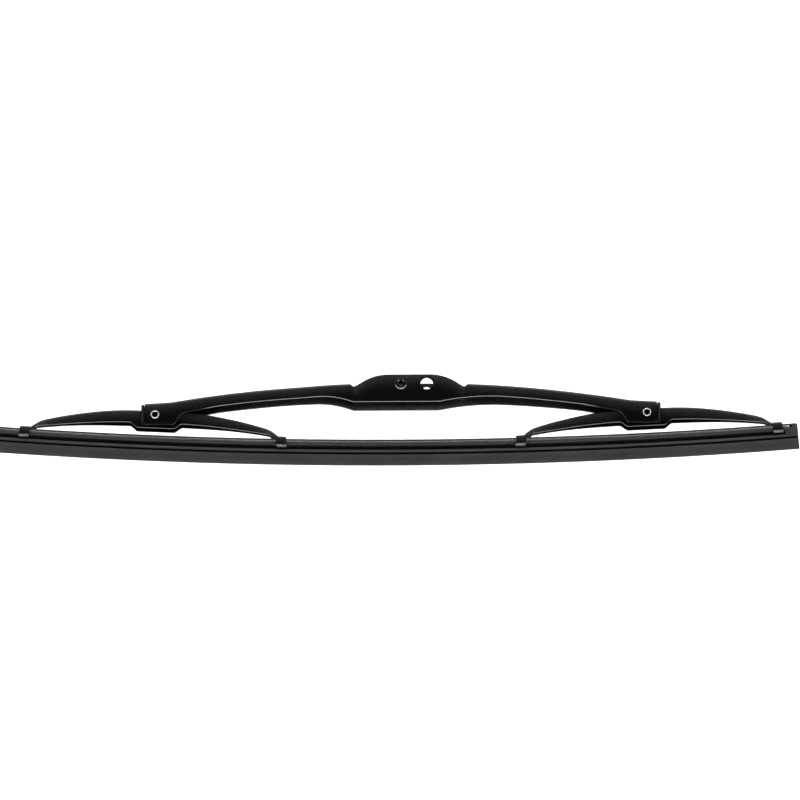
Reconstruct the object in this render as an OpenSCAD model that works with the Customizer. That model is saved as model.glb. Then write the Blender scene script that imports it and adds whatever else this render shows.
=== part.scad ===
// Frame-type windscreen wiper blade: one long bridge, two rocking yokes and a
// bowed rubber squeegee with two steel rails in its head.
// The origin is the middle of the centre rivet. X runs along the blade, Y runs
// along the rivets, and Z points away from the glass.

/* [Squeegee] */
// Length of the rubber, along its bow
squeegee_len = 406.5; // [396:0.5:420]
// Length of rubber from the middle to the closed end on the right
closed_end_len = 198.5; // [194:0.5:203]
// Radius of the bow of the free rubber
bow_r = 2550; // [2200:10:3200]
// Distance from the centre rivet down to the rails, at the middle
rail_drop = 29.7; // [28.5:0.1:33]
// Width of the head that the claws hold
head_w = 6; // [5.6:0.1:6.4]
// Height of the head above the middle of the rails
head_above = 1.5; // [1.2:0.05:1.7]
// Depth of the head below the middle of the rails
head_below = 2; // [1.8:0.05:2.4]
// Width of the neck under the head
neck_w = 1.6; // [1.2:0.1:2]
// Height of the neck under the head
neck_h = 1.7; // [1.45:0.05:1.9]
// Width of the ridge that limits the tilt of the lip
ridge_w = 4.6; // [4:0.1:5]
// Height of the ridge
ridge_h = 1.4; // [1.2:0.1:1.8]
// Width of the thin hinge above the lip
hinge_w = 0.9; // [0.7:0.1:1.2]
// Height of the thin hinge
hinge_h = 0.9; // [0.7:0.1:1.2]
// Width of the lip at its shoulder
lip_w = 3.6; // [3:0.1:4]
// Width of the wiping edge
edge_w = 0.9; // [0.6:0.1:1.2]
// Height of the lip
lip_h = 5.3; // [4.4:0.1:6]
// Length of the solid block that closes the head on the right
end_block_len = 6.6; // [5.5:0.1:7]

/* [Rails] */
// Width of one steel rail
rail_w = 1.8; // [1.4:0.1:2]
// Thickness of one steel rail
rail_t = 0.9; // [0.7:0.1:1]
// How far a rail stands proud of the side of the head
rail_proud = 0.1; // [0:0.05:0.15]
// Distance from the closed end of the rubber back to the rails
rail_setback = 4.2; // [3:0.1:5]
// Length of the empty slot past the rails at the closed end
slot_spare = 1.6; // [0.8:0.1:2.4]
// Distance that the rails stay inside the open end of the rubber
rail_inset = 2; // [1:0.5:4]
// Gap around a rail in its slot
rail_gap = 0.05; // [0.02:0.01:0.1]

/* [Bridge] */
// Distance from the centre rivet to each pivot, along X
pivot_x = 123; // [118:1:128]
// Distance from the centre rivet down to the pivots
pivot_drop = 15.5; // [14.5:0.1:16.5]
// Thickness of the bridge's sheet
bridge_sheet = 1.2; // [1:0.05:1.3]
// Width of the bridge over the cheeks
cheek_w = 14.4; // [13.6:0.1:15]
// Width of the bridge at the pivots
bridge_end_w = 11.6; // [11:0.1:12]
// Length over which the left arm narrows to the width at the pivots
taper_run_left = 30; // [25:1:50]
// Length over which the right arm narrows to the width at the pivots
taper_run_right = 65; // [50:1:68]
// Outer radius of the bend along the bridge
bridge_bend_r = 1.8; // [1.6:0.1:2.2]
// Height of the arch above the centre rivet
crown_up = 0.7; // [0:0.1:1]
// Fullness of the arch, where 2 is a parabola
arch_power = 2.25; // [2:0.05:2.4]
// Height of the web over the pivots
web_over_pivot = 6.6; // [6.4:0.05:7.1]
// Fall of the web over the pivots, for each mm outwards
land_fall = 0.06; // [0.03:0.01:0.09]
// Length of that straight web, inwards from the pivot
land_len = 8; // [6:0.5:10]
// Distance from the pivot to the end of the bridge
bridge_overhang = 5.2; // [4:0.1:5.5]
// Depth of the bridge's arms
arm_depth = 6; // [5.2:0.1:6.4]
// Depth of the skirts below the pivots
bridge_skirt = 5; // [4.5:0.1:5.4]
// Length of the skirts, inwards from the pivots
bridge_skirt_in = 9.5; // [9:0.1:12]
// Length over which a skirt rises into its arm
skirt_run = 3.6; // [3:0.1:5]
// Radius of the curve from a skirt into its arm
skirt_fillet = 4.5; // [3:0.5:6]

/* [Arm seat] */
// Length of the window between the ends of the web
window_len = 59.5; // [54:0.5:62]
// Middle of the window, along X
window_x = 4.1; // [3:0.1:5]
// Height of the cheeks above the centre rivet
cheek_up = 4.9; // [4.2:0.1:6]
// Depth of the cheeks below the centre rivet
cheek_down = 9.4; // [8.8:0.1:10.5]
// Length of the flat top of the cheeks
cheek_flat = 20.5; // [18:0.5:24]
// Radius of the shoulders of the cheeks
shoulder_r = 24; // [20:1:30]
// Length of the flat bottom of the cheeks
cheek_base = 43.2; // [40:0.1:48]
// Middle of the flat bottom of the cheeks, along X
cheek_base_x = -2.4; // [-3:0.1:0]
// Length over which the flat bottom rises into the left arm
cheek_run_left = 18; // [14:0.5:24]
// Length over which the flat bottom rises into the right arm
cheek_run_right = 34; // [24:0.5:40]
// Length of the slanted relief at each end of the window
relief_len = 1.8; // [1:0.1:2.5]
// Distance from the centre rivet to the side-pin hole
side_pin_x = 13; // [12:0.1:15]
// Diameter of the side-pin hole
side_pin_d = 6.4; // [6.4:0.1:7]
// Diameter of the centre rivet between the cheeks
arm_pin_d = 4.8; // [4:0.1:5.4]
// Diameter of the centre rivet's heads
arm_pin_head_d = 6.2; // [5.8:0.1:7]
// Diameter of the hole along the centre rivet
arm_pin_bore_d = 2.6; // [2:0.1:3]
// Thickness of the centre rivet's heads
arm_pin_head_t = 0.6; // [0.4:0.1:1]

/* [Pivots] */
// Diameter of a pivot rivet inside the yoke
pivot_d = 3.4; // [3:0.1:3.6]
// Diameter of a pivot rivet's heads
pivot_head_d = 4.4; // [4.2:0.1:5.2]
// Diameter of the hole along a pivot rivet
pivot_bore_d = 2.5; // [1.8:0.1:2.6]
// Thickness of a pivot rivet's heads
pivot_head_t = 0.5; // [0.3:0.1:0.8]
// Radial gap between a pivot rivet and the yoke
pivot_gap = 0.05; // [0.02:0.01:0.08]
// Thickness of the bushing's walls
bushing_wall = 0.85; // [0.7:0.05:0.9]
// Thickness of the lip at the end of a bushing
lip_t = 1.5; // [1.2:0.1:2.2]
// How far that lip stays below the outside of the bridge
lip_step = 0.4; // [0.2:0.1:0.8]
// Gap between that lip and the end of the bridge
lip_gap = 0.25; // [0.1:0.05:0.4]
// Gap between a bushing and the bridge
bushing_fit = 0.05; // [0.02:0.01:0.08]
// Gap on each side of a yoke in its bushing
yoke_side_gap = 0.1; // [0.08:0.01:0.15]

/* [Yokes] */
// Distance from the centre rivet to the outer claws, along X
outer_claw_x = 188.2; // [184:0.1:189]
// Distance from the centre rivet to the inner claws, along X
inner_claw_x = 60; // [56:0.1:64]
// Thickness of the yokes' sheet
yoke_sheet = 0.9; // [0.8:0.05:1]
// Outer radius of the bend along the yokes
yoke_bend_r = 1.4; // [1.2:0.1:1.6]
// Width of a yoke's arms
yoke_arm_w = 4.2; // [3.8:0.1:5]
// Height of a yoke above its pivot
yoke_up = 3.2; // [2.9:0.05:3.25]
// Length of the flat top on either side of the pivot
yoke_flat = 8; // [6:0.5:10]
// Radius of the top of the arms
yoke_crown_r = 182; // [166:2:194]
// Slope of the neck above each claw, in degrees
neck_slope = 40; // [34:1:44]
// Length of the flat foot between the neck of an outer arm and its claw
outer_foot = 1.4; // [0.5:0.1:3]
// Depth of the skirts below the pivot
yoke_skirt = 6.1; // [5.7:0.1:6.4]
// Length of the skirts from the pivot outwards
yoke_skirt_out = 9; // [8:0.1:10]
// Length of the skirts from the pivot inwards
yoke_skirt_in = 10; // [8.5:0.1:10.5]
// Depth of the arms below the pivot, next to the skirts
yoke_belly = 3.4; // [3.1:0.05:3.6]
// Radius of the underside of the arms
yoke_belly_r = 350; // [320:5:390]
// Length of a claw
claw_len = 4.9; // [4:0.1:6]
// Gap between a claw and the rubber
claw_gap = 0.2; // [0.15:0.01:0.25]
// Distance that a claw's tips reach under the head
claw_hook = 1.7; // [1.2:0.1:1.9]
// Outer radius of the bends of a claw
claw_bend_r = 1.3; // [1.1:0.1:1.5]

/* [Hidden] */

paint_colour = [0.09, 0.09, 0.10];
plastic_colour = [0.05, 0.05, 0.055];
rubber_colour = [0.16, 0.16, 0.17];
steel_colour = [0.62, 0.63, 0.65];
rivet_colour = [0.82, 0.82, 0.80];

// A small length that carries a cut clean through a face
eps = 0.5;
// A length that reaches past the part in any direction
beyond = 40;
// Steps in a quarter bend of the sheet
bend_steps = 4;
// Least radius inside a bend
tight_r = 0.1;

// Heights in the section of the rubber, from the middle of the rails
head_bottom = -head_below;
ridge_top = head_bottom - neck_h;
ridge_bottom = ridge_top - ridge_h;
lip_top = ridge_bottom - hinge_h;
edge_bottom = lip_top - lip_h;
corner_r = 0.3;
block_inset = 0.1;
slot_h = rail_t + 2 * rail_gap;
slot_floor = head_w / 2 + rail_proud - rail_w - rail_gap;

// The bow: its centre lies straight above the centre rivet
bow_centre_z = bow_r - rail_drop;
open_end_len = squeegee_len - closed_end_len;
rail_closed_len = closed_end_len - rail_setback;
rail_open_len = open_end_len - rail_inset;

// Half widths in a stack through a pivot, from the yoke outwards
bridge_end_half = bridge_end_w / 2;
liner_half = bridge_end_half - bridge_sheet - bushing_fit;
liner_inner_half = liner_half - bushing_wall;
yoke_pivot_half = liner_inner_half - yoke_side_gap;
yoke_arm_half = yoke_arm_w / 2;
cheek_half = cheek_w / 2;

// Profile of the bridge, seen from the side
pivot_z = -pivot_drop;
land_x = pivot_x - land_len;
bridge_end_x = pivot_x + bridge_overhang;
land_sag = crown_up - land_z(land_x);
window_left = window_x - window_len / 2;
window_right = window_x + window_len / 2;
taper_left = window_left - taper_run_left;
taper_right = window_right + taper_run_right;
skirt_z = pivot_z - bridge_skirt;
skirt_x = pivot_x - bridge_skirt_in;
skirt_corner = 1.2;
skirt_lead = 1;
// Lengths of skirt_run over which an arm eases down to its skirt
lead_runs = 6;
lead_x = skirt_x - lead_runs * skirt_run;
shoulder_drop = cheek_up - notch_z(window_left);

// Where the rails pass through the claws, and the tilt that this gives a yoke
outer_rail_z = rail_z(outer_claw_x);
inner_rail_z = rail_z(inner_claw_x);
yoke_tilt = atan2(outer_rail_z - inner_rail_z, outer_claw_x - inner_claw_x);
outer_reach = along_yoke(outer_claw_x, outer_rail_z);
inner_reach = -along_yoke(inner_claw_x, inner_rail_z);
yoke_rail_z = above_yoke(outer_claw_x, outer_rail_z);
claw_inner_half = head_w / 2 + rail_proud + claw_gap;
claw_half = claw_inner_half + yoke_sheet;
claw_ceiling = yoke_rail_z + head_above + claw_gap;
claw_top = claw_ceiling + yoke_sheet;
claw_floor = yoke_rail_z + head_bottom - claw_gap;
claw_bottom = claw_floor - yoke_sheet;

// Forms of a yoke: how its web runs into a claw, and where its skirts and its narrow arms begin
neck_sunk = 0.3;
neck_search = 0.25;
foot_slope = 15;
web_floor = claw_ceiling + yoke_sheet / 9;
web_run = 1.2 * claw_len;
web_level = 0.75 * claw_len;
yoke_skirt_run = 3.2;
yoke_corner = 0.9;
yoke_taper_from = 12;
yoke_taper_to = 50;

function land_z(x) = pivot_z + web_over_pivot - land_fall * (x - pivot_x);

// Height of the arch at a distance x from the centre rivet
function arch_z(x) = crown_up - land_sag * pow(x / land_x, arch_power);

function bridge_top(x) = abs(x) < land_x ? arch_z(abs(x)) : land_z(abs(x));

function arm_foot(x) = bridge_top(x) - arm_depth;

function notch_z(x) = bridge_top(x) - bridge_bend_r;

// 0 to 1 between two distances, with a soft start and end
function ease(x, from, to) = (1 - cos(180 * min(max((x - from) / (to - from), 0), 1))) / 2;

function bridge_half(x) = cheek_half + (bridge_end_half - cheek_half)
    * (x < window_x ? ease(-x, -window_left, -taper_left) : ease(x, window_right, taper_right));

// Height of the rails' middle line at a distance x from the centre rivet
function rail_z(x) = bow_centre_z - sqrt(bow_r * bow_r - x * x);

// A point's place in a yoke's own frame: along it outwards, and above its pivot
function along_yoke(x, z) = (x - pivot_x) * cos(yoke_tilt) + (z - pivot_z) * sin(yoke_tilt);
function above_yoke(x, z) = (z - pivot_z) * cos(yoke_tilt) - (x - pivot_x) * sin(yoke_tilt);

// Height of a yoke's top edge over its pivot, at a distance d along one arm of a given reach
function crown_z(d) =
    d < yoke_flat ? yoke_up : yoke_up - yoke_crown_r
        + sqrt(yoke_crown_r * yoke_crown_r - (d - yoke_flat) * (d - yoke_flat));

// The neck drops to the claw, at a distance c from the claw's middle and with a foot of a given length
function neck_drop(c, foot) = claw_top - neck_sunk + (c - neck_sunk - foot) * tan(neck_slope);
function foot_z(c) = claw_top - neck_sunk + max(c - claw_len / 2 + neck_sunk, 0) * tan(foot_slope);
function neck_z(c, foot) = max(neck_drop(c, foot), foot_z(c));
function yoke_top(d, reach, foot) = min(crown_z(d), neck_z(reach - d, foot));
function yoke_slope(d, reach, foot) =
    crown_z(d) <= neck_z(reach - d, foot) ? 0
        : neck_drop(reach - d, foot) > foot_z(reach - d) ? neck_slope : foot_slope;

// The place where an arm of a given reach bends down into its neck
function neck_start(reach, foot, d = yoke_flat) =
    crown_z(d) > neck_z(reach - d, foot) ? d : neck_start(reach, foot, d + neck_search);

function yoke_half(d) =
    yoke_pivot_half + (yoke_arm_half - yoke_pivot_half) * ease(d, yoke_taper_from, yoke_taper_to);

// Height of an arm's underside over the pivot, where its skirt has a given length
function belly_z(d, skirt) =
    -yoke_belly - yoke_belly_r + sqrt(yoke_belly_r * yoke_belly_r - (d - skirt) * (d - skirt));

// The n places that divide the way from one place to the next, without its start
function steps(from, to, n) = [for (i = [1:n]) from + (to - from) * i / n];

function mirrored(list) = [for (i = [len(list) - 1:-1:0]) [-list[i][0], list[i][1]]];

// Points on an arc about [y, z]
function arc(y, z, r, from, to, n) =
    [for (i = [0:n]) [y + r * cos(from + (to - from) * i / n), z + r * sin(from + (to - from) * i / n)]];

// One line across a bent sheet's section, from the foot of one flange to the other
function bend_line(half, top, foot, r) = concat(
    [[-half, foot]],
    arc(-half + r, top - r, r, 180, 90, bend_steps),
    arc(half - r, top - r, r, 90, 0, bend_steps),
    [[half, foot]]
);

// A station of a channel: its place and the outer and inner lines of its section
function station(x, half, top, foot, sheet, r, slope = 0) = [
    x,
    bend_line(half, top, foot, r),
    bend_line(half - sheet, top - sheet / cos(slope), foot, max(r - sheet, tight_r))
];

// A channel of bent sheet through a list of stations, open below
module channel(stations) {
    m = len(stations[0][1]);
    last = len(stations) - 1;
    points = [for (s = stations) each [for (side = [1, 2], p = s[side]) [s[0], p[0], p[1]]]];
    quads = concat(
        [for (s = [0:last - 1], i = [0:m - 2]) each [
            [at(s, 0, i, m), at(s, 0, i + 1, m), at(s + 1, 0, i + 1, m), at(s + 1, 0, i, m)],
            [at(s, 1, i + 1, m), at(s, 1, i, m), at(s + 1, 1, i, m), at(s + 1, 1, i + 1, m)]
        ]],
        [for (s = [0:last - 1]) each [
            [at(s, 1, 0, m), at(s, 0, 0, m), at(s + 1, 0, 0, m), at(s + 1, 1, 0, m)],
            [at(s, 0, m - 1, m), at(s, 1, m - 1, m), at(s + 1, 1, m - 1, m), at(s + 1, 0, m - 1, m)]
        ]],
        [for (i = [0:m - 2]) each [
            [at(0, 1, i, m), at(0, 1, i + 1, m), at(0, 0, i + 1, m), at(0, 0, i, m)],
            [at(last, 0, i, m), at(last, 0, i + 1, m), at(last, 1, i + 1, m), at(last, 1, i, m)]
        ]]
    );
    triangles = [for (q = quads) each [[q[0], q[1], q[2]], [q[0], q[2], q[3]]]];
    polyhedron(points = points, faces = triangles);
}

// Number of a channel's point: station s, outer (0) or inner (1) line, place i of m
function at(s, side, i, m) = (2 * s + side) * m + i;

// Extrudes an outline drawn in X and Z to both sides of Y = 0
module across(half) {
    rotate([90, 0, 0])
        linear_extrude(height = 2 * half, center = true)
            children();
}

module cross_hole(x, z, d) {
    translate([x, 0, z])
        rotate([90, 0, 0])
            cylinder(h = 2 * beyond, d = d, center = true, $fn = 64);
}

// The bridge's stations from left to right, with one at each change of its form
function bridge_stops() = concat(
    [-bridge_end_x],
    steps(-bridge_end_x, -land_x, 2),
    steps(-land_x, taper_left, 5),
    steps(taper_left, window_left, 7),
    steps(window_left, window_right, 6),
    steps(window_right, taper_right, 7),
    steps(taper_right, land_x, 5),
    steps(land_x, bridge_end_x, 2)
);

module bridge_channel() {
    channel([for (x = bridge_stops())
        station(x, bridge_half(x), bridge_top(x), -beyond, bridge_sheet, bridge_bend_r)]);
}

// The lower edge from the flat bottom of the cheeks out to the end, with its arm and skirt
function bridge_edge(base, run) = concat(
    [for (x = concat([base], steps(base, base + run, 8)))
        [x, arm_foot(x) - (cheek_down + arm_foot(base)) * pow(1 - (x - base) / run, 2)]],
    [for (x = steps(base + run, lead_x, 8)) [x, arm_foot(x)]],
    [
        [skirt_x - skirt_run, arm_foot(skirt_x - skirt_run) - skirt_lead],
        [skirt_x, skirt_z],
        [bridge_end_x + beyond, skirt_z]
    ]
);

// Everything above the lower edge of the flanges
module above_bridge_edge() {
    base_left = cheek_base / 2 - cheek_base_x;
    base_right = cheek_base / 2 + cheek_base_x;
    offset(r = skirt_corner)
        offset(r = -skirt_corner - skirt_fillet)
            offset(delta = skirt_fillet)
                polygon(concat(
                    mirrored(bridge_edge(base_left, cheek_run_left)),
                    bridge_edge(base_right, cheek_run_right),
                    [[bridge_end_x + beyond, beyond], [-bridge_end_x - beyond, beyond]]
                ));
}

// The raised outline of a cheek, above the notches at the window's ends
module cheek_outline() {
    shoulder_end = acos(1 - shoulder_drop / shoulder_r);
    shoulder_run = shoulder_r * sin(shoulder_end);
    top = cheek_flat / 2;
    raised = concat(
        [[top + shoulder_run, -beyond]],
        arc(top, cheek_up - shoulder_r, shoulder_r, 90 - shoulder_end, 90, 12)
    );
    translate([window_x, 0])
        polygon(concat(raised, mirrored(raised)));
}

// What is cut from the folded channel to open the window, with slanted reliefs at its ends
module window_outline() {
    polygon([
        [window_left, beyond],
        [window_left, bridge_top(window_left)],
        [window_left + relief_len, notch_z(window_left)],
        [window_right - relief_len, notch_z(window_right)],
        [window_right, bridge_top(window_right)],
        [window_right, beyond]
    ]);
}

module cheeks() {
    intersection() {
        across(cheek_half)
            intersection() {
                cheek_outline();
                above_bridge_edge();
            }
        for (side = [-1, 1])
            translate([window_x, side * (cheek_half - bridge_sheet / 2), 0])
                cube([window_len, bridge_sheet, 2 * beyond], center = true);
    }
}

module bridge() {
    color(paint_colour)
        difference() {
            union() {
                difference() {
                    intersection() {
                        bridge_channel();
                        across(cheek_half + eps)
                            above_bridge_edge();
                    }
                    across(beyond)
                        window_outline();
                }
                cheeks();
            }
            cross_hole(0, 0, arm_pin_d);
            cross_hole(side_pin_x, 0, side_pin_d);
            for (side = [-1, 1])
                cross_hole(side * pivot_x, pivot_z, pivot_d);
        }
}

// A hollow rivet along Y, with its heads closed on the outer faces of a stack
module hollow_rivet(shank_d, head_d, bore_d, grip_half, head_t) {
    rim = head_t / 3;
    half = [
        [bore_d / 2, 0],
        [shank_d / 2, 0],
        [shank_d / 2, grip_half],
        [head_d / 2, grip_half],
        [head_d / 2, grip_half + head_t - rim],
        [head_d / 2 - rim, grip_half + head_t],
        [bore_d / 2 + rim, grip_half + head_t],
        [bore_d / 2, grip_half + head_t - rim]
    ];
    for (side = [0, 1])
        rotate([side * 180 + 90, 0, 0])
            rotate_extrude($fn = 64)
                polygon(half);
}

module centre_rivet() {
    color(paint_colour)
        hollow_rivet(arm_pin_d, arm_pin_head_d, arm_pin_bore_d, cheek_half, arm_pin_head_t);
}

module pivot_rivet(side) {
    color(rivet_colour)
        translate([side * pivot_x, 0, pivot_z])
            hollow_rivet(pivot_d, pivot_head_d, pivot_bore_d, bridge_end_half, pivot_head_t);
}

module left_pivot_rivet() {
    pivot_rivet(-1);
}

module right_pivot_rivet() {
    pivot_rivet(1);
}

// A saddle that lines the end of the bridge, with a lip that caps its edge
module bushing() {
    liner_top = bridge_sheet + bushing_fit;
    liner_in = skirt_x + skirt_run;
    lip_in = bridge_end_x + lip_gap;
    lip_half = bridge_end_half - lip_step;
    liner_bend = bridge_bend_r - liner_top;
    difference() {
        intersection() {
            union() {
                channel([for (x = [liner_in, bridge_end_x, lip_in + lip_t / 2])
                    station(x, liner_half, bridge_top(x) - liner_top, -beyond, bushing_wall, liner_bend)]);
                channel([for (x = [lip_in, lip_in + lip_t])
                    station(x, lip_half, bridge_top(x) - lip_step, -beyond,
                        lip_half - liner_inner_half, bridge_bend_r - lip_step)]);
            }
            translate([pivot_x, 0, skirt_z + beyond + bushing_fit])
                cube([2 * beyond, 2 * beyond, 2 * beyond], center = true);
        }
        cross_hole(pivot_x, pivot_z, pivot_d + 2 * bushing_fit);
    }
}

module left_bushing() {
    color(plastic_colour)
        mirror([1, 0, 0])
            bushing();
}

module right_bushing() {
    color(plastic_colour)
        bushing();
}

// One arm of a yoke, from its pivot along +X, in the yoke's own frame
module yoke_arm(reach, foot, skirt) {
    bend_at = neck_start(reach, foot);
    stops = concat([0], steps(0, yoke_flat, 2), steps(yoke_flat, bend_at, 10),
        steps(bend_at, reach - neck_sunk, 6));
    skirt_end = skirt + yoke_skirt_run;
    edge = concat(
        [[-skirt, -yoke_skirt], [skirt, -yoke_skirt]],
        [for (d = concat([skirt_end], steps(skirt_end, reach - web_run, 8))) [d, belly_z(d, skirt)]],
        [[reach - web_level, web_floor], [reach + skirt, web_floor]]
    );
    intersection() {
        channel([for (d = stops)
            station(d, yoke_half(d), yoke_top(d, reach, foot), -beyond, yoke_sheet, yoke_bend_r,
                yoke_slope(d, reach, foot))]);
        across(beyond)
            offset(r = yoke_corner)
                offset(delta = -yoke_corner)
                    polygon(concat(edge, [[reach + skirt, beyond], [-skirt, beyond]]));
    }
}

// The sheet that wraps the head of the rubber, centred on the rails' middle line
module claw_section() {
    difference() {
        rounded_box(claw_half, claw_bottom, claw_top, claw_bend_r);
        rounded_box(claw_inner_half, claw_floor, claw_ceiling, claw_bend_r - yoke_sheet);
        translate([-(claw_inner_half - claw_hook), claw_bottom - eps])
            square([2 * (claw_inner_half - claw_hook), claw_floor - claw_bottom + 2 * eps]);
    }
}

// A box from -half to half in X and from low to high in Y, with round corners
module rounded_box(half, low, high, r) {
    translate([-half, low + r])
        square([2 * half, high - low - 2 * r]);
    translate([-half + r, low])
        square([2 * (half - r), high - low]);
    for (x = [-half + r, half - r], y = [low + r, high - r])
        translate([x, y])
            circle(r, $fn = 48);
}

module claw() {
    rotate([90, 0, 90])
        linear_extrude(height = claw_len, center = true)
            claw_section();
}

// The right yoke in its own frame: level, with its pivot at the origin
module level_yoke() {
    difference() {
        union() {
            yoke_arm(outer_reach, outer_foot, yoke_skirt_out);
            mirror([1, 0, 0])
                yoke_arm(inner_reach, 0, yoke_skirt_in);
            translate([outer_reach, 0, 0])
                claw();
            translate([-inner_reach, 0, 0])
                claw();
        }
        cross_hole(0, 0, pivot_d + 2 * pivot_gap);
    }
}

module right_yoke() {
    color(paint_colour)
        translate([pivot_x, 0, pivot_z])
            rotate([0, -yoke_tilt, 0])
                level_yoke();
}

module left_yoke() {
    color(paint_colour)
        mirror([1, 0, 0])
            translate([pivot_x, 0, pivot_z])
                rotate([0, -yoke_tilt, 0])
                    level_yoke();
}

// Sweeps a section along the bow. The section is drawn as [height above the rails, Y]
module along_bow(left_len, right_len) {
    left = left_len / bow_r * 180 / PI;
    right = right_len / bow_r * 180 / PI;
    translate([0, 0, bow_centre_z])
        rotate([90, 90, 0])
            rotate([0, 0, -left])
                rotate_extrude(angle = left + right, $fn = 4000)
                    translate([bow_r, 0])
                        mirror([1, 0])
                            children();
}

// One side of the rubber's section, from its top to its wiping edge
function rubber_side() = [
    [head_above, head_w / 2 - corner_r],
    [head_above - corner_r, head_w / 2],
    [head_bottom + corner_r, head_w / 2],
    [head_bottom, head_w / 2 - corner_r],
    [head_bottom, neck_w / 2],
    [ridge_top, neck_w / 2],
    [ridge_top, ridge_w / 2 - corner_r],
    [ridge_top - corner_r, ridge_w / 2],
    [ridge_bottom + corner_r, ridge_w / 2],
    [ridge_bottom, ridge_w / 2 - corner_r],
    [ridge_bottom, hinge_w / 2],
    [lip_top, hinge_w / 2],
    [lip_top, lip_w / 2 - corner_r],
    [lip_top - corner_r, lip_w / 2],
    [edge_bottom, edge_w / 2]
];

module rubber_section() {
    side = rubber_side();
    polygon(concat(side, [for (i = [len(side) - 1:-1:0]) [side[i][0], -side[i][1]]]));
}

// One rail or its slot, as a bar from y to y + w beside the rubber's middle
module rail_bar(side, y, w, h) {
    translate([-h / 2, side > 0 ? y : -y - w])
        square([h, w]);
}

module squeegee() {
    color(rubber_colour)
        difference() {
            union() {
                along_bow(open_end_len, closed_end_len)
                    rubber_section();
                along_bow(end_block_len - closed_end_len, closed_end_len - block_inset)
                    translate([ridge_top - corner_r, block_inset - head_w / 2])
                        square([neck_h + 3 * corner_r, head_w - 2 * block_inset]);
            }
            for (side = [-1, 1])
                along_bow(open_end_len + eps, rail_closed_len + slot_spare)
                    rail_bar(side, slot_floor, head_w, slot_h);
        }
}

module rail(side) {
    color(steel_colour)
        along_bow(rail_open_len, rail_closed_len)
            rail_bar(side, slot_floor + rail_gap, rail_w, rail_t);
}

module front_rail() {
    rail(1);
}

module rear_rail() {
    rail(-1);
}

bridge();
centre_rivet();
left_pivot_rivet();
right_pivot_rivet();
left_bushing();
right_bushing();
left_yoke();
right_yoke();
squeegee();
front_rail();
rear_rail();
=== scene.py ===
import math

import bmesh
import bpy
from mathutils import Matrix, Vector


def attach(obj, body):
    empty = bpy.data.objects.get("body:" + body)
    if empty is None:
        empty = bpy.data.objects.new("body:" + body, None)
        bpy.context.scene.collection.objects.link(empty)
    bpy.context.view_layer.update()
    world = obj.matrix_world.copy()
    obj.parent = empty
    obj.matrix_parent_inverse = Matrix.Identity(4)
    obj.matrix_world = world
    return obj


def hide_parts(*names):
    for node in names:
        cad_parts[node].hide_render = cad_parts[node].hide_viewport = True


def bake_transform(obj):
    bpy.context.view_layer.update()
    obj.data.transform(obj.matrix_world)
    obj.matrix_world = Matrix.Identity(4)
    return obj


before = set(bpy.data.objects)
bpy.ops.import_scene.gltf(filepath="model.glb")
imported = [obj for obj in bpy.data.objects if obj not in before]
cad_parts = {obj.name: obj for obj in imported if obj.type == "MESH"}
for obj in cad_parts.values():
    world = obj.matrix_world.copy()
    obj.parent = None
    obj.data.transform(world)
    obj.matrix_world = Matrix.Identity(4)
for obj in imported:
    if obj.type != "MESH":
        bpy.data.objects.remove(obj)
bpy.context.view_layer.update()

MM = 0.001

# Sizes of the bridge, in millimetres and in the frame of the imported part
PIVOT_X, PIVOT_Z = 123.0, -15.5
BRIDGE_SHEET, BRIDGE_BEND = 1.2, 1.8
CHEEK_HALF, END_HALF = 7.2, 5.8
CROWN, ARCH_POWER = 0.7, 2.25
WEB_OVER, LAND_FALL, LAND_X = 6.6, 0.06, 115.0
BRIDGE_END = 128.2
ARM_DEPTH, SKIRT_Z, SKIRT_X, SKIRT_RUN = 6.0, -20.5, 113.5, 3.6
LEAD_RUNS, LEAD_DROP = 6, 1.0
LEAD_X = SKIRT_X - LEAD_RUNS * SKIRT_RUN
END_CORNER = 1.1
WINDOW_MID, WINDOW_L, WINDOW_R = 4.1, -25.65, 33.85
TAPER_RUN_L, TAPER_RUN_R = 30, 65
TAPER_L, TAPER_R = WINDOW_L - TAPER_RUN_L, WINDOW_R + TAPER_RUN_R
RELIEF = 1.8
CHEEK_L, CHEEK_R = WINDOW_L + RELIEF, WINDOW_R - RELIEF
CHEEK_UP, CHEEK_DOWN, CHEEK_FLAT, SHOULDER_R = 4.9, 9.4, 20.5, 24.0
BASE_L, BASE_R, RUN_L, RUN_R = 24.0, 19.2, 18.0, 34.0
SIDE_PIN_X, SIDE_PIN_R = 13.0, 3.15

# Sizes of the rivets: radii of shank, head, bore and the rim's crest, and the head's height
SHANK_R, HEAD_R, BORE_R, CREST_R, HEAD_RISE = 2.4, 3.1, 1.35, 1.75, 0.6
PIVOT_SHANK_R, PIVOT_HEAD_R, PIVOT_BORE_R, PIVOT_CREST_R, PIVOT_RISE = 1.7, 2.15, 1.25, 1.84, 0.5
PIVOT_PLAY = 0.05

# Sizes of the bushings
LINER, LINER_GAP, LINER_DROP, LINER_BEND, LINER_INTO_LIP = 0.85, 0.05, 1.25, 0.75, 0.7
LIP_GAP, LIP_T, LIP_STEP, LIP_BEND, SADDLE_FOOT = 0.25, 1.5, 0.4, 1.2, 0.05

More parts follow.
